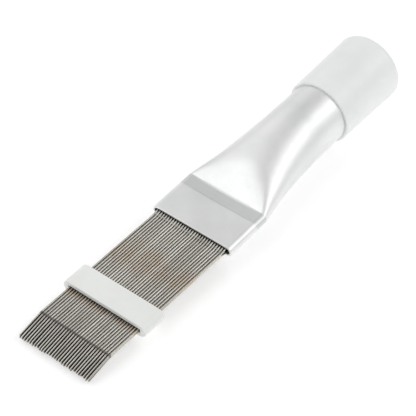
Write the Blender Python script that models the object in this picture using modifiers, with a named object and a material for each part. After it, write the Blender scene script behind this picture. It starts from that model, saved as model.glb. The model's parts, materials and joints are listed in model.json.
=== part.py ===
"""Uncapping fork: a flattened aluminium tube grips two rows of bent steel needles.

The two rows leave the tube's mouth one straight under the other.

A white nylon slider rides on the needles and sets how far they can flex, and a
white plastic cap closes the round end of the tube.

Everything is modelled in the tool's own frame, in metres: the origin is the
centre of the ferrule's mouth, +X runs along the needles to their tips, +Y is
across the rows and +Z is the side that the tips bend away from. At the end the
whole tool is set down on the plane z = 0, on its cap and its needle tips.
"""

import bisect
import math
import random

import bmesh
import bpy
from mathutils import Vector

# Handle tube: a round tube, pressed flat at one end. The wall keeps its length
# round the section, so the width of the flat end follows from the diameter.
TUBE_DIAMETER = 0.0281
TUBE_LENGTH = 0.1235
WALL = 0.0009
FERRULE_LENGTH = 0.0235
TRANSITION_LENGTH = 0.056
ARCH_REACH = 0.3

# Needles. The lower row lies straight under the upper one. Its outermost needle on
# the -Y side isn't made here, which keeps the tool to sixty pieces.
NEEDLE_DIAMETER = 0.0008
NEEDLES_PER_ROW = 29
LEFT_OUT_BELOW = 1
NEEDLE_GRIP = 0.018
SEAT_GAP = 0.00015
SEATED_ROW_GAP = 0.0012

# Course of the needles outside the ferrule, where the rows close up to each other.
ROW_GAP = 0.0002
STEP_START = 0.0006
STEP_LENGTH = 0.0026
STEP_RADIUS = 0.0015
NEEDLE_RISE = math.radians(2.3)
BEND_REACH = 0.0715
BEND_RADIUS = 0.004
TIP_LENGTH = 0.0130
TIP_DROP = math.radians(10)
TIP_LENGTH_SCATTER = 0.00035
TIP_SIDE_SCATTER = 0.00012
SCATTER_SEED = 7

# Slider.
SLIDER_REACH = 0.0485
SLIDER_LENGTH = 0.012
SLIDER_THICKNESS = 0.0060
SLIDER_END_WALL = 0.0029
SLIDER_CLEARANCE = 0.0003
SLIDER_EDGE = 0.0003

# End cap.
CAP_GRIP = 0.0367
CAP_CLEARANCE = 0.00025
CAP_WALL = 0.0011
CAP_FLARE = 0.0006
CAP_FLOOR = 0.0022
CAP_FILLET = 0.0036
RIM_EDGE = 0.0004

# Fineness of the round shapes.
SIDE_STEPS = 8
FLAT_STEPS = 12
TRANSITION_STEPS = 14
ARCH_SAMPLES = 720
CAP_STEPS = 40
ARC_STEP = math.radians(10)

# Worked out from the values above.
MID_RADIUS = (TUBE_DIAMETER - WALL) / 2
CAVITY = 2 * (NEEDLE_DIAMETER + SEAT_GAP) + SEATED_ROW_GAP
FERRULE_MID_HEIGHT = (CAVITY + WALL) / 2
FLAT_WIDTH = math.pi * (MID_RADIUS - FERRULE_MID_HEIGHT)
NEEDLE_PITCH = (FLAT_WIDTH - NEEDLE_DIAMETER) / (NEEDLES_PER_ROW - 1)
SEAT_HEIGHT = (SEATED_ROW_GAP + NEEDLE_DIAMETER) / 2
ROW_SPACING = NEEDLE_DIAMETER + ROW_GAP
STEP_END = STEP_START + STEP_LENGTH

ALUMINIUM = ("brushed_aluminium", (0.78, 0.79, 0.79), 0.32, 1.0)
STEEL = ("spring_steel", (0.55, 0.53, 0.50), 0.28, 1.0)
WHITE_NYLON = ("white_nylon", (0.86, 0.87, 0.86), 0.45, 0.0)
WHITE_VINYL = ("white_vinyl", (0.88, 0.89, 0.88), 0.38, 0.0)


def clear_scene():
    for obj in list(bpy.data.objects):
        bpy.data.objects.remove(obj, do_unlink=True)


def material(look):
    name, colour, roughness, metallic = look
    made = bpy.data.materials.get(name)
    if made is None:
        made = bpy.data.materials.new(name)
        made.use_nodes = True
        shader = made.node_tree.nodes["Principled BSDF"]
        shader.inputs["Base Color"].default_value = (*colour, 1.0)
        shader.inputs["Roughness"].default_value = roughness
        shader.inputs["Metallic"].default_value = metallic
    return made


def add_object(name, data, look, collection, parent):
    obj = bpy.data.objects.new(name, data)
    obj.data.materials.append(material(look))
    collection.objects.link(obj)
    obj.parent = parent
    return obj


def add_empty(name, collection, parent=None):
    empty = bpy.data.objects.new(name, None)
    collection.objects.link(empty)
    empty.parent = parent
    return empty


def needle_line_height(x):
    """Height of the middle between the rows, on their straight stretch."""
    return math.tan(NEEDLE_RISE) * (x - STEP_END)


# --- handle tube -------------------------------------------------------------


def wall_stations():
    """Lengths along the wall's mid-line at which every section has a point.

    They count from the middle of the top, and crowd together at the two sides,
    where the flat end is tightly bent.
    """
    side = math.pi * FERRULE_MID_HEIGHT
    half = (
        [FLAT_WIDTH * (i / FLAT_STEPS - 0.5) for i in range(FLAT_STEPS)]
        + [FLAT_WIDTH / 2 + side * i / SIDE_STEPS for i in range(SIDE_STEPS)]
    )
    return half + [s + math.pi * MID_RADIUS for s in half]


def half_width(mid_height):
    """Half the mid-line's width where its side rounds have the radius mid_height."""
    return math.pi * (MID_RADIUS - mid_height) / 2 + mid_height


def arch_height(width):
    """Half the height of the ellipse with that half width and the wall's own length."""
    low, high = 0.0, MID_RADIUS
    for _ in range(40):
        height = (low + high) / 2
        total, spread = width + height, 3 * ((width - height) / (width + height)) ** 2
        if math.pi * total * (1 + spread / (10 + math.sqrt(4 - spread))) < math.tau * MID_RADIUS:
            low = height
        else:
            high = height
    return low


def pressed_point(s, mid_height):
    """Point (y, z) a length s along a mid-line of two flats and two half rounds."""
    flat = math.pi * (MID_RADIUS - mid_height)
    side, along = divmod(s + flat / 2, math.pi * MID_RADIUS)
    turned = -1 if side % 2 else 1
    if along <= flat:
        return turned * (along - flat / 2), turned * mid_height
    angle = (along - flat) / mid_height
    y = flat / 2 + mid_height * math.sin(angle)
    return turned * y, turned * mid_height * math.cos(angle)


def arched_points(stations, width, height):
    """Points (y, z) at the same lengths along an ellipse."""
    turns = [math.tau * i / ARCH_SAMPLES for i in range(-ARCH_SAMPLES // 2, ARCH_SAMPLES + 1)]
    places = [(width * math.sin(t), height * math.cos(t)) for t in turns]
    lengths = [0.0]
    for (y0, z0), (y1, z1) in zip(places, places[1:]):
        lengths.append(lengths[-1] + math.hypot(y1 - y0, z1 - z0))
    whole = lengths[-1] * 2 / 3
    start = lengths[-1] / 3
    points = []
    for s in stations:
        target = start + whole * s / (math.tau * MID_RADIUS)
        i = min(bisect.bisect_right(lengths, target), len(lengths) - 1)
        part = (target - lengths[i - 1]) / (lengths[i] - lengths[i - 1])
        (y0, z0), (y1, z1) = places[i - 1], places[i]
        points.append((y0 + (y1 - y0) * part, z0 + (z1 - z0) * part))
    return points


def mid_line(mid_height, arched):
    """The wall's mid-line: flat-sided where arched is 0, an ellipse where it is 1."""
    stations = wall_stations()
    pressed = [pressed_point(s, mid_height) for s in stations]
    width = half_width(mid_height)
    bowed = arched_points(stations, width, arch_height(width))
    return [
        (y0 + (y1 - y0) * arched, z0 + (z1 - z0) * arched)
        for (y0, z0), (y1, z1) in zip(pressed, bowed)
    ]


def face_line(points, offset):
    """The line a distance offset outside a closed line of points."""
    moved = []
    for i, (y, z) in enumerate(points):
        (y0, z0), (y1, z1) = points[i - 1], points[(i + 1) % len(points)]
        run = math.hypot(y1 - y0, z1 - z0)
        moved.append((y - offset * (z1 - z0) / run, z + offset * (y1 - y0) / run))
    return moved


def tube_sections():
    """(x, mid_height, arched) of each section, from the mouth to the round end."""
    sections = [(0.0, FERRULE_MID_HEIGHT, 0.0), (-FERRULE_LENGTH, FERRULE_MID_HEIGHT, 0.0)]
    for i in range(1, TRANSITION_STEPS + 1):
        u = i / TRANSITION_STEPS
        opened = 1 - (1 - u) ** 2
        height = FERRULE_MID_HEIGHT + (MID_RADIUS - FERRULE_MID_HEIGHT) * opened
        bow = min(1.0, u / ARCH_REACH)
        sections.append(
            (-FERRULE_LENGTH - TRANSITION_LENGTH * u, height, bow * bow * (3 - 2 * bow))
        )
    sections.append((-TUBE_LENGTH, MID_RADIUS, 1.0))
    return sections


def make_tube(collection, parent):
    mesh = bpy.data.meshes.new("handle_tube")
    bm = bmesh.new()
    outer, inner = (
        [
            [bm.verts.new((x, y, z)) for y, z in face_line(mid_line(height, arched), offset)]
            for x, height, arched in tube_sections()
        ]
        for offset in (WALL / 2, -WALL / 2)
    )
    rings = outer + inner[::-1]
    count = len(rings[0])
    for here, there in zip(rings, rings[1:] + rings[:1]):
        for i in range(count):
            j = (i + 1) % count
            bm.faces.new((here[i], here[j], there[j], there[i]))
    bmesh.ops.recalc_face_normals(bm, faces=bm.faces)
    bm.to_mesh(mesh)
    bm.free()
    mesh.shade_smooth()
    mesh.set_sharp_from_angle(angle=math.radians(20))
    return add_object("handle_tube", mesh, ALUMINIUM, collection, parent)


# --- needles -----------------------------------------------------------------


def rounded(corners, radii):
    """The corners' path with each inner corner replaced by an arc of its radius."""
    path = [corners[0]]
    for before, corner, after, radius in zip(corners, corners[1:], corners[2:], radii):
        back = (before - corner).normalized()
        on = (after - corner).normalized()
        turn = math.pi - back.angle(on)
        steps = max(1, math.ceil(turn / ARC_STEP))
        reach = radius * math.tan(turn / 2)
        start, end = corner + back * reach, corner + on * reach
        if steps == 1:
            path.append(corner)
            continue
        centre = corner + (back + on).normalized() * (radius / math.cos(turn / 2))
        spoke, last = start - centre, end - centre
        for i in range(steps + 1):
            path.append(centre + radius * spoke.slerp(last, i / steps))
    path.append(corners[-1])
    return path


def needle_path(row, y, tip_length, tip_shift):
    """Centre line of one needle. row is +1 in the upper row and -1 in the lower."""
    seat = row * SEAT_HEIGHT
    lift = row * ROW_SPACING / 2
    bend = Vector((BEND_REACH, y, needle_line_height(BEND_REACH) + lift))
    tip = bend + Vector(
        (tip_length * math.cos(TIP_DROP), tip_shift, -tip_length * math.sin(TIP_DROP))
    )
    corners = [
        Vector((-NEEDLE_GRIP, y, seat)),
        Vector((STEP_START, y, seat)),
        Vector((STEP_END, y, needle_line_height(STEP_END) + lift)),
        bend,
        tip,
    ]
    return rounded(corners, [STEP_RADIUS, STEP_RADIUS, BEND_RADIUS])


def make_needle(name, path, collection, parent):
    curve = bpy.data.curves.new(name, "CURVE")
    curve.dimensions = "3D"
    curve.bevel_depth = NEEDLE_DIAMETER / 2
    curve.bevel_resolution = 2
    curve.use_fill_caps = True
    spline = curve.splines.new("POLY")
    spline.points.add(len(path) - 1)
    for point, place in zip(spline.points, path):
        point.co = (*place, 1.0)
        point.radius = 1.0
    return add_object(name, curve, STEEL, collection, parent)


def make_needles(collection, parent):
    scatter = random.Random(SCATTER_SEED)
    for row, label, first in ((1, "upper", 0), (-1, "lower", LEFT_OUT_BELOW)):
        for i in range(first, NEEDLES_PER_ROW):
            y = NEEDLE_PITCH * (i - (NEEDLES_PER_ROW - 1) / 2)
            length = TIP_LENGTH + scatter.uniform(-1, 1) * TIP_LENGTH_SCATTER
            shift = scatter.uniform(-1, 1) * TIP_SIDE_SCATTER
            path = needle_path(row, y, length, shift)
            make_needle(f"needle_{label}_{i + 1:02d}", path, collection, parent)


# --- slider ------------------------------------------------------------------


def stadium(width, height, steps):
    """A closed outline: two straight sides joined by half rounds."""
    radius = height / 2
    points = []
    for side in (1, -1):
        for i in range(steps + 1):
            angle = math.pi * (i / steps - 0.5)
            y = width / 2 - radius + radius * math.cos(angle)
            points.append((side * y, side * radius * math.sin(angle)))
    return points


def make_slider(collection, parent):
    row_width = FLAT_WIDTH + 2 * SLIDER_CLEARANCE
    slot_height = ROW_SPACING + NEEDLE_DIAMETER + 2 * SLIDER_CLEARANCE
    outline = stadium(row_width + 2 * SLIDER_END_WALL, SLIDER_THICKNESS, 10)
    slot = [
        (side * row_width / 2, end * slot_height / 2)
        for side, end in ((1, -1), (1, 1), (-1, 1), (-1, -1))
    ]
    curve = bpy.data.curves.new("needle_slider", "CURVE")
    curve.dimensions = "2D"
    curve.fill_mode = "BOTH"
    curve.extrude = SLIDER_LENGTH / 2
    for points in (outline, slot):
        spline = curve.splines.new("POLY")
        spline.points.add(len(points) - 1)
        spline.use_cyclic_u = True
        for point, (y, z) in zip(spline.points, points):
            point.co = (y, z, 0.0, 1.0)
    rail = add_empty("slider_rail", collection, parent)
    rail.location = (SLIDER_REACH, 0, needle_line_height(SLIDER_REACH))
    rail.rotation_euler = (0, -NEEDLE_RISE, 0)
    slider = add_object("needle_slider", curve, WHITE_NYLON, collection, rail)
    # The outline's x and y are the tool's y and z, and it is extruded along x.
    slider.rotation_euler = (math.pi / 2, 0, math.pi / 2)
    weld = slider.modifiers.new("weld", "WELD")
    weld.merge_threshold = 0.00001
    bevel = slider.modifiers.new("edges", "BEVEL")
    bevel.width = SLIDER_EDGE
    bevel.segments = 1
    bevel.limit_method = "ANGLE"
    bevel.angle_limit = math.radians(60)
    return slider


# --- end cap -----------------------------------------------------------------


def gripped_radius():
    """Half the tube's width at its widest inside the cap, at the cap's rim."""
    rim_place = CAP_GRIP - TUBE_LENGTH
    height = [height for x, height, _ in tube_sections() if x >= rim_place][-1]
    return half_width(height) + WALL / 2


def cap_profile():
    """Points (radius, height) from the closed end's middle, round the rim, to the floor."""
    bore = gripped_radius() + CAP_CLEARANCE
    rim = bore + CAP_WALL
    end = rim + CAP_FLARE
    floor = CAP_GRIP + CAP_CLEARANCE
    top = floor + CAP_FLOOR
    profile = [(0.0, top)]
    steps = 5
    for i in range(steps + 1):
        angle = math.pi / 2 * i / steps
        profile.append(
            (
                end - CAP_FILLET * (1 - math.sin(angle)),
                top - CAP_FILLET * (1 - math.cos(angle)),
            )
        )
    profile += [
        (rim, RIM_EDGE),
        (rim - RIM_EDGE, 0.0),
        (bore, 0.0),
        (bore, floor),
        (0.0, floor),
    ]
    return profile


def make_cap(collection, parent):
    mesh = bpy.data.meshes.new("end_cap")
    profile = cap_profile()
    points = [(radius, 0, height) for radius, height in profile]
    edges = [(i, i + 1) for i in range(len(points) - 1)]
    mesh.from_pydata(points, edges, [])
    cap = add_object("end_cap", mesh, WHITE_VINYL, collection, parent)
    # The cap's own +Z points out of the closed end, away from the needles.
    cap.location = (CAP_GRIP - TUBE_LENGTH, 0, 0)
    cap.rotation_euler = (0, -math.pi / 2, 0)
    screw = cap.modifiers.new("turn", "SCREW")
    screw.axis = "Z"
    screw.steps = CAP_STEPS
    screw.render_steps = CAP_STEPS
    screw.use_merge_vertices = True
    screw.merge_threshold = 0.00001
    screw.use_smooth_shade = True
    return cap


# --- setting the tool down ---------------------------------------------------


def solid_points(collection):
    """Every point of every finished piece, where it is now."""
    bpy.context.view_layer.update()
    graph = bpy.context.evaluated_depsgraph_get()
    points = []
    for obj in collection.objects:
        if obj.type == "EMPTY":
            continue
        shown = obj.evaluated_get(graph)
        mesh = shown.to_mesh()
        points += [shown.matrix_world @ vertex.co for vertex in mesh.vertices]
        shown.to_mesh_clear()
    return points


def resting_slope(points, over):
    """Slope, in the XZ plane, of the lowest line that carries the tool at x = over."""
    chain = []
    for p in sorted((round(v.x, 7), round(v.z, 7)) for v in points):
        while len(chain) > 1:
            (ax, az), (bx, bz) = chain[-2:]
            if (bx - ax) * (p[1] - az) - (bz - az) * (p[0] - ax) > 0:
                break
            chain.pop()
        chain.append(p)
    for (ax, az), (bx, bz) in zip(chain, chain[1:]):
        if ax <= over <= bx:
            return math.atan2(bz - az, bx - ax)
    return 0.0


def set_down(pose, collection):
    """Tips the tool onto its cap and needle tips, centred over the origin on z = 0."""
    balance = -TUBE_LENGTH / 2
    pose.rotation_euler = (0, resting_slope(solid_points(collection), balance), 0)
    points = solid_points(collection)
    lows = [min(p[k] for p in points) for k in range(3)]
    highs = [max(p[k] for p in points) for k in range(3)]
    pose.location = (-(lows[0] + highs[0]) / 2, -(lows[1] + highs[1]) / 2, -lows[2])
    bpy.context.view_layer.update()


def main():
    clear_scene()
    collection = bpy.data.collections.new("uncapping_fork")
    bpy.context.scene.collection.children.link(collection)
    pose = add_empty("tool_pose", collection)
    make_tube(collection, pose)
    make_needles(collection, pose)
    make_slider(collection, pose)
    make_cap(collection, pose)
    set_down(pose, collection)


main()
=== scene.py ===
"""Looks of the uncapping fork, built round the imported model.

Shapes are made in the tool's own frame: the origin is the centre of the
ferrule's mouth, +X runs along the needles and +Z is the side they bend away
from. Each finished piece is then placed by the tool's pose, which is read from
the frame.
"""

import bisect
import json
import math

import bmesh
import bpy
from mathutils import Matrix, Vector


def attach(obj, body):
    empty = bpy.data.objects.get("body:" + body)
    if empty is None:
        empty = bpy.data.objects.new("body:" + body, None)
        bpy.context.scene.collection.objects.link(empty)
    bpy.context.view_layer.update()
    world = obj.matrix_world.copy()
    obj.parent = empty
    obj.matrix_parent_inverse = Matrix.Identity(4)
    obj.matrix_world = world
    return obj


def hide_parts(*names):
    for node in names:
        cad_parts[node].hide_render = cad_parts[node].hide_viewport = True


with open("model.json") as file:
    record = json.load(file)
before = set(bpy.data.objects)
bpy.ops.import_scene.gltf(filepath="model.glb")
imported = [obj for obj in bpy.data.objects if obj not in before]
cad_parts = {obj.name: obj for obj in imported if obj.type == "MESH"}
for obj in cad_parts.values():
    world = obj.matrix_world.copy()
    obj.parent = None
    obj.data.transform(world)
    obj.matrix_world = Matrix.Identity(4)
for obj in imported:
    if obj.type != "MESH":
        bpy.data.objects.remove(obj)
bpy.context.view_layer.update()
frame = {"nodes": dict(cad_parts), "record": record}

# The tool, as the design states it.
FACE_SETBACK = 0.012
WALL = 0.0009
FERRULE_LENGTH = 0.0235
TRANSITION_LENGTH = 0.056
ARCH_REACH = 0.3
STEP_START = 0.0006
STEP_LENGTH = 0.0026
NEEDLE_DIAMETER = 0.0008
NEEDLE_RISE = math.radians(2.3)
ROW_SPACING = 0.0010
SEAT_HEIGHT = 0.0010
BEND_REACH = 0.0715
SLIDER_END_WALL = 0.0029
CAP_CLEARANCE = 0.00025
CAP_WALL = 0.0011
CAP_FLOOR = 0.0022
CAP_FILLET = 0.0036

# Finish of the tube: its rounded lip, and the band pressed into its flats.
FLAT_STEPS = 64
SIDE_STEPS = 44
FERRULE_STEPS = 90
TRANSITION_STEPS = 80
ARCH_STEPS = 1440
HEIGHT_HALVINGS = 40
LIP_ROUND = 0.00028
LIP_STEPS = 8
SINK_DEPTH = 0.0002
SINK_START = 0.0172
SINK_RAMP = 0.0004
TUBE_SHARP = math.radians(15)

# Finish of the needles.
STEP_ARC = 0.0015
BEND_ARC = 0.004
ARC_STEP = math.radians(2.5)
LEAST_TURN = 0.001
ROOT_REACH = 0.001
TIP_REACH = 0.0004
TIP_ROUND = ((0.7, 1.0), (0.35, 0.94), (0.12, 0.75), (0.0, 0.45))  # radii back, part of radius
WIRE_ROUND_STEPS = 4

# Finish of the slider and the cap. A fit is the gap shown, narrower than the clearance.
WELD = 0.000005
SLIDER_ROUND = 0.0004
SLIDER_ROUND_STEPS = 5
SLIDER_SIDE_STEPS = 32
SLIDER_SHARP = math.radians(30)
SLOT_FIT = 0.00005
CAP_RIM_ROUND = 0.0005
CAP_LIP_ROUND = CAP_RIM_ROUND / 2
CAP_FILLET_STEPS = 12
CAP_RIM_STEPS = 6
CAP_LIP_STEPS = 4
CAP_STEPS = 128
CAP_SHARP = math.radians(40)
CAP_FIT = 0.00003

# Ranges that most of a noise's values, and the pointiness of worn edges, lie in.
NOISE_ROUGHNESS = 0.55
NOISE_RANGE = (0.3, 0.7)
WIDE_NOISE_RANGE = (0.25, 0.75)
METAL_EDGE = (0.53, 0.60)
PLASTIC_EDGE = (0.52, 0.60)

# Aluminium. A ramp's stops are pairs of a noise value and a colour.
ALUMINIUM_BLOTCHES = (
    (0.30, (0.79, 0.80, 0.795)),
    (0.55, (0.86, 0.87, 0.865)),
    (0.75, (0.90, 0.905, 0.895)),
)
ALUMINIUM_STREAK = (0.92, 0.925, 0.92)
# The darker colour of the pressed-in band is painted shade.
ALUMINIUM_SUNK_SHADE = (0.62, 0.64, 0.64)
ALUMINIUM_WORN = (0.93, 0.93, 0.92)
ALUMINIUM_ROUGHNESS = (0.45, 0.56)
STREAK_STRENGTH = 0.16
SUNK_SHADE_STRENGTH = 0.55
SUNK_SHADE_FADE = 0.0002
WEAR_STRENGTH = 0.5

# Steel. Its tan and rust lie in two bands along the needles. Painted shade: the gaps between
# needles are darker the more sheltered they are, more so past the bend, and a dark line lies at
# the bend.
STEEL_STREAKS = (
    (0.30, (0.44, 0.42, 0.38)),
    (0.55, (0.59, 0.57, 0.52)),
    (0.75, (0.72, 0.70, 0.65)),
)
STEEL_ROUGHNESS = (0.12, 0.22)
TAN = (0.50, 0.38, 0.26)
TAN_START, TAN_END, TAN_FADE = 0.019, 0.032, 0.004
TAN_RANGE, TAN_STRENGTH = (0.35, 0.7), (0.05, 0.65)
RUST = (0.42, 0.24, 0.12)
RUST_START, RUST_END, RUST_FADE = 0.0545, 0.0575, 0.0012
RUST_STRENGTH = (0.1, 0.7)
SHELTER_REACH = 0.0012
SHELTER_RAYS = 12
# Painted shade for the gaps between needles, and deeper painted shade for them past the bend.
GAP_SHADE = (0.06, 0.055, 0.05)
GAP_SHADE_RANGE = (0.25, 0.85)
TIP_GAP_SHADE = (0.03, 0.028, 0.025)
TIP_GAP_SHADE_RANGE = (0.05, 0.55)
TIP_GAP_SHADE_FADE = 0.0006
# Painted shade: a dark line across the needles at the bend.
BEND_SHADE = (0.07, 0.065, 0.06)
BEND_SHADE_HALF, BEND_SHADE_FADE, BEND_SHADE_STRENGTH = 0.0006, 0.0003, 0.65

# Plastics.
NYLON = (0.90, 0.915, 0.89)
VINYL = (0.90, 0.92, 0.91)
PLASTIC_WORN = 1.05
SOILED_UP_TO, CLEAN_FROM = 0.32, 0.6
SMOOTHER, ROUGHER = 0.06, 0.08
SCATTER_WEIGHT = 0.12
SCATTER_RADIUS = (0.004, 0.0035, 0.003)
SCATTER_SCALE = 0.4

# Studio. The floor gives off light of its own, so that the ground is white.
WHITE = (1.0, 1.0, 1.0, 1.0)
FLOOR_HALF_WIDTH = 4.0
FLOOR_GREY = (0.66, 0.66, 0.66, 1.0)
FLOOR_GLOW = 0.48
AIR_GLOW = 0.51

# Camera, in the tool's frame.
CAMERA_TURN = math.radians(40.66)
CAMERA_RISE = math.radians(47.29)
CAMERA_ROLL = math.radians(-2.29)
CAMERA_TARGET = Vector((-0.01416, -0.00272, 0.0))
CAMERA_DISTANCE = 0.8182
CAMERA_ANGLE = math.radians(12.0)
CAMERA_NEAR, CAMERA_FAR = 0.05, 20.0


# --- reading the frame -------------------------------------------------------


ACROSS = Vector((0.0, 1.0, 0.0))
MOUNTS = {m["name"]: m for m in frame["record"]["mounts"]}


def mount_place(name):
    return Vector(MOUNTS[name]["pos_m"])


def tool_pose():
    """The matrix from the tool's frame to the row frame."""
    up = Vector(MOUNTS["ferrule_top"]["axis"]).normalized()
    along = ACROSS.cross(up).normalized()
    middle = (mount_place("ferrule_top") + mount_place("ferrule_underside")) / 2
    origin = middle + along * FACE_SETBACK
    turn = Matrix((along, ACROSS, up)).transposed()
    return Matrix.Translation(origin) @ turn.to_4x4()


POSE = tool_pose()
TO_TOOL = POSE.inverted()


def tool_points(node):
    """A solid's points, in the tool's frame."""
    return [TO_TOOL @ v.co for v in frame["nodes"][node].data.vertices]


def tool_box(node):
    points = tool_points(node)
    low = Vector([min(p[k] for p in points) for k in range(3)])
    high = Vector([max(p[k] for p in points) for k in range(3)])
    return low, high


TUBE_LOW, TUBE_HIGH = tool_box("handle_tube")
CAP_LOW, CAP_HIGH = tool_box("end_cap")
TUBE_LENGTH = -TUBE_LOW.x
TUBE_RADIUS = (TUBE_HIGH.z - TUBE_LOW.z) / 2
MID_RADIUS = TUBE_RADIUS - WALL / 2
FERRULE_THICKNESS = (mount_place("ferrule_top") - mount_place("ferrule_underside")).length
FERRULE_MID_HEIGHT = (FERRULE_THICKNESS - WALL) / 2
FLAT_WIDTH = math.pi * (MID_RADIUS - FERRULE_MID_HEIGHT)


# --- material nodes ----------------------------------------------------------


class Shader:
    """A material's node tree, with short calls for the nodes used here."""

    def __init__(self, name, metallic=0.0):
        self.material = bpy.data.materials.new(name)
        self.material.use_nodes = True
        self.tree = self.material.node_tree
        self.surface = self.tree.nodes["Principled BSDF"]
        self.surface.inputs["Metallic"].default_value = metallic
        self.place = self.tool_place()

    def link(self, output, target):
        self.tree.links.new(output, target)

    def tool_place(self):
        """Where a point is in the tool's own frame."""
        node = self.tree.nodes.new("ShaderNodeMapping")
        node.inputs["Location"].default_value = TO_TOOL.translation
        node.inputs["Rotation"].default_value = TO_TOOL.to_euler()
        source = self.tree.nodes.new("ShaderNodeTexCoord").outputs["Object"]
        self.link(source, node.inputs["Vector"])
        return node.outputs["Vector"]

    def stretched(self, scale):
        node = self.tree.nodes.new("ShaderNodeMapping")
        node.inputs["Scale"].default_value = scale
        self.link(self.place, node.inputs["Vector"])
        return node.outputs["Vector"]

    def noise(self, scale, detail, stretch=(1, 1, 1)):
        """A noise over the tool, drawn out along an axis where its stretch is below 1."""
        node = self.tree.nodes.new("ShaderNodeTexNoise")
        node.inputs["Scale"].default_value = scale
        node.inputs["Detail"].default_value = detail
        node.inputs["Roughness"].default_value = NOISE_ROUGHNESS
        self.link(self.stretched(stretch), node.inputs["Vector"])
        return node.outputs["Fac"]

    def ramp(self, value, stops):
        node = self.tree.nodes.new("ShaderNodeValToRGB")
        while len(node.color_ramp.elements) < len(stops):
            node.color_ramp.elements.new(0.5)
        for element, (position, colour) in zip(node.color_ramp.elements, stops):
            element.position = position
            element.color = (*colour, 1.0)
        self.link(value, node.inputs["Fac"])
        return node.outputs["Color"]

    def span(self, value, given, wanted=(0.0, 1.0)):
        """The value with the range given stretched to the range wanted, and held at its ends."""
        node = self.tree.nodes.new("ShaderNodeMapRange")
        names = ("From Min", "From Max", "To Min", "To Max")
        for name, number in zip(names, (*given, *wanted)):
            node.inputs[name].default_value = number
        self.link(value, node.inputs["Value"])
        return node.outputs["Result"]

    def maths(self, operation, first, second):
        node = self.tree.nodes.new("ShaderNodeMath")
        node.operation = operation
        for socket, value in zip(node.inputs, (first, second)):
            if isinstance(value, (int, float)):
                socket.default_value = value
            else:
                self.link(value, socket)
        return node.outputs["Value"]

    def mix(self, factor, first, second):
        node = self.tree.nodes.new("ShaderNodeMix")
        node.data_type = "RGBA"
        sockets = [s for s in node.inputs if s.enabled]
        for socket, value in zip(sockets, (factor, first, second)):
            if isinstance(value, (int, float)):
                socket.default_value = value
            elif isinstance(value, tuple):
                socket.default_value = (*value, 1.0)
            else:
                self.link(value, socket)
        return next(s for s in node.outputs if s.enabled)

    def along(self):
        """The place along the tool, in metres."""
        node = self.tree.nodes.new("ShaderNodeSeparateXYZ")
        self.link(self.place, node.inputs["Vector"])
        return node.outputs["X"]

    def band(self, start, end, fade):
        """1 between start and end along the tool, fading to 0 outside them."""
        x = self.along()
        rise = self.span(x, (start - fade, start + fade))
        fall = self.span(x, (end - fade, end + fade), (1.0, 0.0))
        return self.maths("MULTIPLY", rise, fall)

    def bump(self, height, strength, distance):
        node = self.tree.nodes.new("ShaderNodeBump")
        node.inputs["Strength"].default_value = strength
        node.inputs["Distance"].default_value = distance
        self.link(height, node.inputs["Height"])
        self.link(node.outputs["Normal"], self.surface.inputs["Normal"])

    def edge_wear(self, pointiness):
        """0 on open faces, 1 on convex edges."""
        node = self.tree.nodes.new("ShaderNodeNewGeometry")
        return self.span(node.outputs["Pointiness"], pointiness)

    def past(self, start, fade):
        """0 before a place along the tool, 1 past it."""
        return self.span(self.along(), (start - fade, start + fade))

    def shelter(self, reach):
        """1 deep in the gaps between close pieces, 0 in the open."""
        node = self.tree.nodes.new("ShaderNodeAmbientOcclusion")
        node.samples = SHELTER_RAYS
        node.inputs["Distance"].default_value = reach
        return self.maths("SUBTRACT", 1.0, node.outputs["AO"])

    def colour(self, value):
        self.link(value, self.surface.inputs["Base Color"])

    def roughness(self, value):
        self.link(value, self.surface.inputs["Roughness"])


def aluminium():
    """Satin tube: fine grain along it, soft blotches, painted shade on the pressed-in band,
    brighter edges.
    """
    s = Shader("satin_aluminium", metallic=1.0)
    grain = s.noise(scale=1500.0, detail=5.0, stretch=(0.12, 1.0, 1.0))
    blotch = s.noise(scale=45.0, detail=3.0)
    base = s.ramp(blotch, ALUMINIUM_BLOTCHES)
    streaks = s.span(grain, NOISE_RANGE, (0.0, STREAK_STRENGTH))
    streaked = s.mix(streaks, base, ALUMINIUM_STREAK)
    # Painted shade: the pressed-in band on the flats is made darker.
    band = s.band(-FERRULE_LENGTH, -SINK_START, SUNK_SHADE_FADE)
    sunk_shaded = s.mix(s.maths("MULTIPLY", band, SUNK_SHADE_STRENGTH), streaked, ALUMINIUM_SUNK_SHADE)
    worn = s.maths("MULTIPLY", s.edge_wear(METAL_EDGE), WEAR_STRENGTH)
    s.colour(s.mix(worn, sunk_shaded, ALUMINIUM_WORN))
    s.roughness(s.span(grain, WIDE_NOISE_RANGE, ALUMINIUM_ROUGHNESS))
    s.bump(grain, strength=0.16, distance=0.00004)
    return s.material


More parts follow.
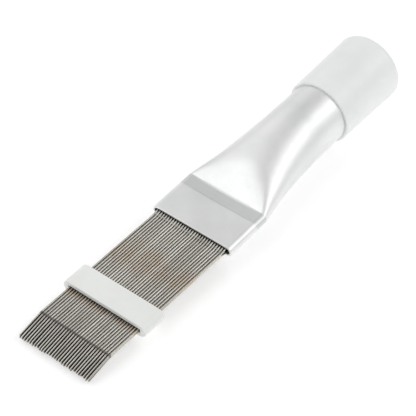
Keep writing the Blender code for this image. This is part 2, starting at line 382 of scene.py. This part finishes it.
def steel():
    """Drawn wire: streaks, brown tints, painted shade in the gaps between wires and a painted
    shade line at the bend.
    """
    s = Shader("drawn_steel", metallic=1.0)
    streak = s.noise(scale=420.0, detail=2.0, stretch=(0.03, 1.0, 1.0))
    blotch = s.noise(scale=220.0, detail=3.0, stretch=(0.35, 1.0, 1.0))
    base = s.ramp(streak, STEEL_STREAKS)
    tan_band = s.band(TAN_START, TAN_END, TAN_FADE)
    tan = s.maths("MULTIPLY", tan_band, s.span(blotch, TAN_RANGE, TAN_STRENGTH))
    tanned = s.mix(tan, base, TAN)
    rust_band = s.band(RUST_START, RUST_END, RUST_FADE)
    rust = s.maths("MULTIPLY", rust_band, s.span(blotch, NOISE_RANGE, RUST_STRENGTH))
    rusted = s.mix(rust, tanned, RUST)
    # Painted shade: the gaps between needles grow darker the more sheltered they are, more so
    # past the bend.
    sheltered = s.shelter(SHELTER_REACH)
    gaps = s.mix(s.span(sheltered, GAP_SHADE_RANGE), rusted, GAP_SHADE)
    tips = s.past(BEND_REACH, TIP_GAP_SHADE_FADE)
    tip_gap_shade = s.maths("MULTIPLY", tips, s.span(sheltered, TIP_GAP_SHADE_RANGE))
    tip_shaded = s.mix(tip_gap_shade, gaps, TIP_GAP_SHADE)
    # Painted shade: a dark line across the needles at the bend.
    bend = s.band(BEND_REACH - BEND_SHADE_HALF, BEND_REACH + BEND_SHADE_HALF, BEND_SHADE_FADE)
    s.colour(s.mix(s.maths("MULTIPLY", bend, BEND_SHADE_STRENGTH), tip_shaded, BEND_SHADE))
    s.roughness(s.span(streak, WIDE_NOISE_RANGE, STEEL_ROUGHNESS))
    return s.material


def white_plastic(name, colour, roughness, grain_scale, soil):
    """Moulded plastic: fine skin texture, faint soiling, brighter worn edges."""
    s = Shader(name)
    s.surface.inputs["Subsurface Weight"].default_value = SCATTER_WEIGHT
    s.surface.inputs["Subsurface Radius"].default_value = SCATTER_RADIUS
    s.surface.inputs["Subsurface Scale"].default_value = SCATTER_SCALE
    skin = s.noise(scale=grain_scale, detail=4.0)
    patches = s.noise(scale=60.0, detail=3.0)
    soiled = tuple(c * (1 - soil) for c in colour)
    worn = tuple(min(1.0, c * PLASTIC_WORN) for c in colour)
    base = s.ramp(patches, [(SOILED_UP_TO, soiled), (CLEAN_FROM, colour)])
    s.colour(s.mix(s.edge_wear(PLASTIC_EDGE), base, worn))
    s.roughness(s.span(skin, NOISE_RANGE, (roughness - SMOOTHER, roughness + ROUGHER)))
    s.bump(skin, strength=0.12, distance=0.00006)
    return s.material


def floor_paint():
    s = Shader("studio_floor")
    s.surface.inputs["Base Color"].default_value = FLOOR_GREY
    s.surface.inputs["Emission Color"].default_value = WHITE
    s.surface.inputs["Emission Strength"].default_value = FLOOR_GLOW
    s.roughness(s.span(s.noise(scale=30.0, detail=3.0), NOISE_RANGE, (0.8, 0.9)))
    return s.material


# --- placing pieces ----------------------------------------------------------


def place(name, data, material, body, nodes):
    """Puts a shape made in the tool's frame where it belongs."""
    data.transform(POSE)
    data.materials.clear()
    data.materials.append(material)
    piece = bpy.data.objects.new(name, data)
    bpy.context.scene.collection.objects.link(piece)
    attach(piece, body)
    if nodes:
        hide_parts(*nodes)


def finished_mesh(bm, name, sharp):
    """A mesh that is shaded smooth up to the sharp angle between faces."""
    bmesh.ops.recalc_face_normals(bm, faces=bm.faces)
    mesh = bpy.data.meshes.new(name)
    bm.to_mesh(mesh)
    bm.free()
    mesh.shade_smooth()
    mesh.set_sharp_from_angle(angle=sharp)
    return mesh


# --- handle tube -------------------------------------------------------------


def wall_stations():
    """Lengths along the wall's mid-line of the section's points, from the top's middle."""
    side = math.pi * FERRULE_MID_HEIGHT
    half = (
        [FLAT_WIDTH * (i / FLAT_STEPS - 0.5) for i in range(FLAT_STEPS)]
        + [FLAT_WIDTH / 2 + side * i / SIDE_STEPS for i in range(SIDE_STEPS)]
    )
    return half + [s + math.pi * MID_RADIUS for s in half]


def half_width(mid_height):
    """Half the mid-line's width where its side rounds have the radius mid_height."""
    return math.pi * (MID_RADIUS - mid_height) / 2 + mid_height


def arch_height(width):
    """Half the height of the ellipse with that half width and the wall's own length.

    Ramanujan's formula gives an ellipse's length.
    """
    low, high = 0.0, MID_RADIUS
    for _ in range(HEIGHT_HALVINGS):
        height = (low + high) / 2
        total, spread = width + height, 3 * ((width - height) / (width + height)) ** 2
        length = math.pi * total * (1 + spread / (10 + math.sqrt(4 - spread)))
        if length < math.tau * MID_RADIUS:
            low = height
        else:
            high = height
    return low


def pressed_point(s, mid_height):
    """Point (y, z) a length s along a mid-line of two flats and two half rounds."""
    flat = math.pi * (MID_RADIUS - mid_height)
    side, along = divmod(s + flat / 2, math.pi * MID_RADIUS)
    turned = -1 if side % 2 else 1
    if along <= flat:
        return turned * (along - flat / 2), turned * mid_height
    angle = (along - flat) / mid_height
    y = flat / 2 + mid_height * math.sin(angle)
    return turned * y, turned * mid_height * math.cos(angle)


def arched_points(stations, width, height):
    """Points (y, z) at the same lengths along an ellipse, measured on a turn and a half of it."""
    turns = [math.tau * i / ARCH_STEPS for i in range(-ARCH_STEPS // 2, ARCH_STEPS + 1)]
    places = [(width * math.sin(t), height * math.cos(t)) for t in turns]
    lengths = [0.0]
    for (y0, z0), (y1, z1) in zip(places, places[1:]):
        lengths.append(lengths[-1] + math.hypot(y1 - y0, z1 - z0))
    whole = lengths[-1] * 2 / 3
    start = lengths[-1] / 3
    points = []
    for s in stations:
        target = start + whole * s / (math.tau * MID_RADIUS)
        i = min(bisect.bisect_right(lengths, target), len(lengths) - 1)
        part = (target - lengths[i - 1]) / (lengths[i] - lengths[i - 1])
        (y0, z0), (y1, z1) = places[i - 1], places[i]
        points.append((y0 + (y1 - y0) * part, z0 + (z1 - z0) * part))
    return points


def mid_line(mid_height, arched):
    """The wall's mid-line: flat-sided where arched is 0, an ellipse where it is 1."""
    stations = wall_stations()
    pressed = [pressed_point(s, mid_height) for s in stations]
    width = half_width(mid_height)
    bowed = arched_points(stations, width, arch_height(width))
    return [
        (y0 + (y1 - y0) * arched, z0 + (z1 - z0) * arched)
        for (y0, z0), (y1, z1) in zip(pressed, bowed)
    ]


def face_line(points, offset):
    """The line a distance offset outside a closed line of points."""
    moved = []
    for i, (y, z) in enumerate(points):
        (y0, z0), (y1, z1) = points[i - 1], points[(i + 1) % len(points)]
        run = math.hypot(y1 - y0, z1 - z0)
        moved.append((y - offset * (z1 - z0) / run, z + offset * (y1 - y0) / run))
    return moved


def sunk(points, depth):
    """The points with the middle of both flats pressed in by depth."""
    reach = FLAT_WIDTH / 2
    moved = []
    for y, z in points:
        inset = math.sqrt(math.cos(math.pi / 2 * y / reach)) if abs(y) < reach else 0.0
        moved.append((y, z - math.copysign(depth * inset, z)))
    return moved


def smooth_step(value, start, end):
    """0 up to start, 1 from end on, and eased between them."""
    t = min(1.0, max(0.0, (value - start) / (end - start)))
    return t * t * (3 - 2 * t)


def tube_sections():
    """(x, mid_height, arched, sink) of each section, from the mouth to the round end."""
    rows = []
    for i in range(FERRULE_STEPS + 1):
        reach = LIP_ROUND + (FERRULE_LENGTH - LIP_ROUND) * i / FERRULE_STEPS
        inwards = smooth_step(reach, SINK_START - SINK_RAMP, SINK_START + SINK_RAMP)
        outwards = 1 - smooth_step(reach, FERRULE_LENGTH - 2 * SINK_RAMP, FERRULE_LENGTH)
        rows.append((-reach, FERRULE_MID_HEIGHT, 0.0, SINK_DEPTH * inwards * outwards))
    for i in range(1, TRANSITION_STEPS + 1):
        u = i / TRANSITION_STEPS
        opened = 1 - (1 - u) ** 2
        height = FERRULE_MID_HEIGHT + (MID_RADIUS - FERRULE_MID_HEIGHT) * opened
        x = -FERRULE_LENGTH - TRANSITION_LENGTH * u
        rows.append((x, height, smooth_step(u, 0.0, ARCH_REACH), 0.0))
    rows.append((-TUBE_LENGTH, MID_RADIUS, 1.0, 0.0))
    return rows


def lip_rings(offset_from, offset_to):
    """(x, offset) of the rings that round the cut edge at the mouth."""
    middle = (offset_from + offset_to) / 2
    rings = []
    for i in range(1, LIP_STEPS):
        angle = math.pi * i / LIP_STEPS
        x = -LIP_ROUND * (1 - math.sin(angle))
        rings.append((x, middle + (offset_from - middle) * math.cos(angle)))
    return rings


def make_tube(material):
    bm = bmesh.new()
    outer, inner = (
        [
            [
                bm.verts.new((x, y, z))
                for y, z in sunk(face_line(mid_line(height, arched), offset), sink)
            ]
            for x, height, arched, sink in tube_sections()
        ]
        for offset in (WALL / 2, -WALL / 2)
    )
    lip = [
        [
            bm.verts.new((x, y, z))
            for y, z in face_line(mid_line(FERRULE_MID_HEIGHT, 0.0), offset)
        ]
        for x, offset in lip_rings(-WALL / 2, WALL / 2)
    ]
    rings = outer + inner[::-1] + lip
    count = len(rings[0])
    for here, there in zip(rings, rings[1:] + rings[:1]):
        for i in range(count):
            j = (i + 1) % count
            bm.faces.new((here[i], here[j], there[j], there[i]))
    mesh = finished_mesh(bm, "tube_skin", TUBE_SHARP)
    place("tube_skin", mesh, material, "fork", ["handle_tube"])


# --- needles -----------------------------------------------------------------


def rounded(corners, radii):
    """The corners' path with each inner corner replaced by an arc of its radius."""
    path = [corners[0]]
    for before, corner, after, radius in zip(corners, corners[1:], corners[2:], radii):
        back = (before - corner).normalized()
        on = (after - corner).normalized()
        turn = math.pi - back.angle(on)
        if turn < LEAST_TURN:
            path.append(corner)
            continue
        steps = max(2, math.ceil(turn / ARC_STEP))
        reach = radius * math.tan(turn / 2)
        start, end = corner + back * reach, corner + on * reach
        centre = corner + (back + on).normalized() * (radius / math.cos(turn / 2))
        spoke, last = start - centre, end - centre
        for i in range(steps + 1):
            path.append(centre + radius * spoke.slerp(last, i / steps))
    path.append(corners[-1])
    return path


def line_height(x):
    """Height of the middle between the rows, on their straight stretch."""
    run = x - STEP_START - STEP_LENGTH
    return math.tan(NEEDLE_RISE) * run


def needle_path(node, row):
    """Centre line of a needle, from where its own solid lies."""
    points = tool_points(node)
    inner, far = min(p.x for p in points), max(p.x for p in points)
    root = [p for p in points if p.x < inner + ROOT_REACH]
    y = sum(p.y for p in root) / len(root)
    end = [p for p in points if p.x > far - TIP_REACH]
    tip = sum(end, Vector()) / len(end)
    step_end = STEP_START + STEP_LENGTH
    lift = row * ROW_SPACING / 2
    corners = [
        Vector((inner, y, row * SEAT_HEIGHT)),
        Vector((STEP_START, y, row * SEAT_HEIGHT)),
        Vector((step_end, y, line_height(step_end) + lift)),
        Vector((BEND_REACH, y, line_height(BEND_REACH) + lift)),
        tip,
    ]
    return rounded(corners, [STEP_ARC, STEP_ARC, BEND_ARC])


def make_needle(name, path, material, nodes):
    """A wire along the path, its far end rounded off."""
    radius = NEEDLE_DIAMETER / 2
    on = (path[-1] - path[-2]).normalized()
    ends = [(path[-1] - on * radius * back, size) for back, size in TIP_ROUND]
    places = [(p, 1.0) for p in path[:-1]] + ends
    curve = bpy.data.curves.new(name, "CURVE")
    curve.dimensions = "3D"
    curve.bevel_depth = radius
    curve.bevel_resolution = WIRE_ROUND_STEPS
    curve.use_fill_caps = True
    spline = curve.splines.new("POLY")
    spline.points.add(len(places) - 1)
    for point, (where, size) in zip(spline.points, places):
        point.co = (*where, 1.0)
        point.radius = size
    spline.use_smooth = True
    place(name, curve, material, "fork", nodes)


def make_needles(material):
    paths = {}
    for row, label in ((1, "needle_upper"), (-1, "needle_lower")):
        for node in sorted(n for n in frame["nodes"] if n.startswith(label)):
            paths[node] = needle_path(node, row)
            make_needle(f"{node}_wire", paths[node], material, [node])
    # The lower row's outermost needle on the -Y side has no solid of its own, so it is
    # the next one's path, moved under the upper row's outermost needle.
    beside, inner = paths["needle_upper_01"], paths["needle_lower_02"]
    shift = Vector((0.0, beside[0].y - inner[0].y, 0.0))
    make_needle("needle_lower_01_wire", [p + shift for p in inner], material, [])


# --- slider ------------------------------------------------------------------


def stadium(width, height, steps):
    """Points (x, y) of an outline with two flats and two half rounds."""
    radius = height / 2
    points = []
    for side in (1, -1):
        for i in range(steps + 1):
            angle = math.pi * (i / steps - 0.5)
            y = width / 2 - radius + radius * math.cos(angle)
            points.append((side * y, side * radius * math.sin(angle)))
    return points


def slider_pose():
    """The slider's own frame and its thickness: x is across, y up and z along the needles."""
    top, under = mount_place("slider_top"), mount_place("slider_underside")
    up = (top - under).normalized()
    turn = Matrix((ACROSS, up, ACROSS.cross(up))).transposed()
    return Matrix.Translation((top + under) / 2) @ turn.to_4x4(), (top - under).length


def slotted_bar(outline, slot, length):
    """A mesh of the outline run along z, with the slot cut through it and its edges rounded."""
    curve = bpy.data.curves.new("slider_body", "CURVE")
    curve.dimensions = "2D"
    curve.fill_mode = "BOTH"
    curve.extrude = length / 2 - SLIDER_ROUND
    curve.bevel_depth = SLIDER_ROUND
    curve.bevel_resolution = SLIDER_ROUND_STEPS
    curve.offset = -SLIDER_ROUND
    for line in (outline, slot):
        spline = curve.splines.new("POLY")
        spline.points.add(len(line) - 1)
        spline.use_cyclic_u = True
        for point, (x, y) in zip(spline.points, line):
            point.co = (x, y, 0.0, 1.0)
    source = bpy.data.objects.new("slider_source", curve)
    bpy.context.scene.collection.objects.link(source)
    bpy.context.view_layer.update()
    graph = bpy.context.evaluated_depsgraph_get()
    mesh = bpy.data.meshes.new_from_object(source.evaluated_get(graph))
    bpy.data.objects.remove(source)
    return mesh


def make_slider(material):
    pose, thickness = slider_pose()
    points = [pose.inverted() @ v.co for v in frame["nodes"]["needle_slider"].data.vertices]
    width = 2 * max(p.x for p in points)
    length = 2 * max(p.z for p in points)
    row_width = width - 2 * SLIDER_END_WALL
    slot_height = ROW_SPACING + NEEDLE_DIAMETER + 2 * SLOT_FIT
    slot = [
        (side * row_width / 2, end * slot_height / 2)
        for side, end in ((1, -1), (1, 1), (-1, 1), (-1, -1))
    ]
    bm = bmesh.new()
    bm.from_mesh(slotted_bar(stadium(width, thickness, SLIDER_SIDE_STEPS), slot, length))
    bmesh.ops.remove_doubles(bm, verts=bm.verts, dist=WELD)
    bmesh.ops.transform(bm, matrix=TO_TOOL @ pose, verts=bm.verts)
    mesh = finished_mesh(bm, "slider_body", SLIDER_SHARP)
    place("slider_body", mesh, material, "slider", ["needle_slider"])


# --- end cap -----------------------------------------------------------------


def arc(centre, radius, start, end, steps):
    """Points (x, y) round a centre, from one angle to another."""
    cx, cy = centre
    turns = [start + (end - start) * i / steps for i in range(steps + 1)]
    return [(cx + radius * math.cos(t), cy + radius * math.sin(t)) for t in turns]


def cap_profile():
    """Points (radius, height), from the closed end's middle, round the rim, to the floor."""
    up, out, down, back = math.pi / 2, 0.0, -math.pi / 2, -math.pi
    top = CAP_HIGH.x - CAP_LOW.x
    end = (CAP_HIGH.z - CAP_LOW.z) / 2
    rim = TUBE_RADIUS + CAP_CLEARANCE + CAP_WALL
    bore = TUBE_RADIUS + CAP_FIT
    fillet_at = (end - CAP_FILLET, top - CAP_FILLET)
    rim_at = (rim - CAP_RIM_ROUND, CAP_RIM_ROUND)
    lip_at = (bore + CAP_LIP_ROUND, CAP_LIP_ROUND)
    return (
        [(0.0, top)]
        + arc(fillet_at, CAP_FILLET, up, out, CAP_FILLET_STEPS)
        + arc(rim_at, CAP_RIM_ROUND, out, down, CAP_RIM_STEPS)
        + arc(lip_at, CAP_LIP_ROUND, down, back, CAP_LIP_STEPS)
        + [(bore, top - CAP_FLOOR), (0.0, top - CAP_FLOOR)]
    )


def make_cap(material):
    profile = cap_profile()
    bm = bmesh.new()
    verts = [bm.verts.new((radius, 0.0, height)) for radius, height in profile]
    edges = [bm.edges.new(pair) for pair in zip(verts, verts[1:])]
    bmesh.ops.spin(
        bm,
        geom=verts + edges,
        cent=(0, 0, 0),
        axis=(0, 0, 1),
        angle=math.tau,
        steps=CAP_STEPS,
        use_merge=True,
    )
    bmesh.ops.remove_doubles(bm, verts=bm.verts, dist=WELD)
    turn = Matrix.Rotation(-math.pi / 2, 4, "Y")
    bmesh.ops.transform(bm, matrix=Matrix.Translation((CAP_HIGH.x, 0, 0)) @ turn, verts=bm.verts)
    mesh = finished_mesh(bm, "cap_shell", CAP_SHARP)
    place("cap_shell", mesh, material, "fork", ["end_cap"])


# --- studio ------------------------------------------------------------------


def make_floor():
    mesh = bpy.data.meshes.new("studio_floor")
    bm = bmesh.new()
    bmesh.ops.create_grid(bm, x_segments=1, y_segments=1, size=FLOOR_HALF_WIDTH)
    bm.to_mesh(mesh)
    bm.free()
    floor = bpy.data.objects.new("studio_floor", mesh)
    mesh.materials.append(floor_paint())
    bpy.context.scene.collection.objects.link(floor)


def add_light(name, location, size, power):
    """A wide lamp that points at the tool."""
    light = bpy.data.lights.new(name, "AREA")
    light.shape = "RECTANGLE"
    light.size, light.size_y = size
    light.energy = power
    lamp = bpy.data.objects.new(name, light)
    lamp.location = location
    lamp.rotation_mode = "QUATERNION"
    lamp.rotation_quaternion = (-Vector(location)).to_track_quat("-Z", "Y")
    bpy.context.scene.collection.objects.link(lamp)


def light_scene():
    world = bpy.data.worlds.new("studio_air")
    world.use_nodes = True
    air = world.node_tree.nodes["Background"]
    air.inputs["Color"].default_value = WHITE
    air.inputs["Strength"].default_value = AIR_GLOW
    bpy.context.scene.world = world
    add_light("key_light", location=(0.42, -0.50, 0.90), size=(0.9, 0.9), power=3.2)
    add_light("side_light", location=(-0.50, 0.74, 0.82), size=(1.1, 0.65), power=3.7)
    add_light("fill_light", location=(-0.40, -1.00, 0.70), size=(1.0, 0.8), power=1.3)
    bpy.context.scene.view_settings.view_transform = "Standard"


def add_camera():
    turn, rise, roll = CAMERA_TURN, CAMERA_RISE, CAMERA_ROLL
    back = Vector(
        (math.cos(rise) * math.cos(turn), math.cos(rise) * math.sin(turn), math.sin(rise))
    )
    level = Vector((-math.sin(turn), math.cos(turn), 0.0))
    upright = back.cross(level)
    right = math.cos(roll) * level + math.sin(roll) * upright
    up = math.cos(roll) * upright - math.sin(roll) * level
    turned = Matrix((right, up, back)).transposed().to_4x4()
    data = bpy.data.cameras.new("camera")
    data.angle = CAMERA_ANGLE
    data.clip_start, data.clip_end = CAMERA_NEAR, CAMERA_FAR
    camera = bpy.data.objects.new("camera", data)
    bpy.context.scene.collection.objects.link(camera)
    stand = Matrix.Translation(CAMERA_TARGET + back * CAMERA_DISTANCE)
    camera.matrix_world = POSE @ stand @ turned
    bpy.context.scene.camera = camera


make_tube(aluminium())
make_needles(steel())
make_slider(white_plastic("slider_nylon", NYLON, roughness=0.42, grain_scale=700.0, soil=0.05))
make_cap(white_plastic("cap_vinyl", VINYL, roughness=0.36, grain_scale=500.0, soil=0.04))
make_floor()
light_scene()
add_camera()
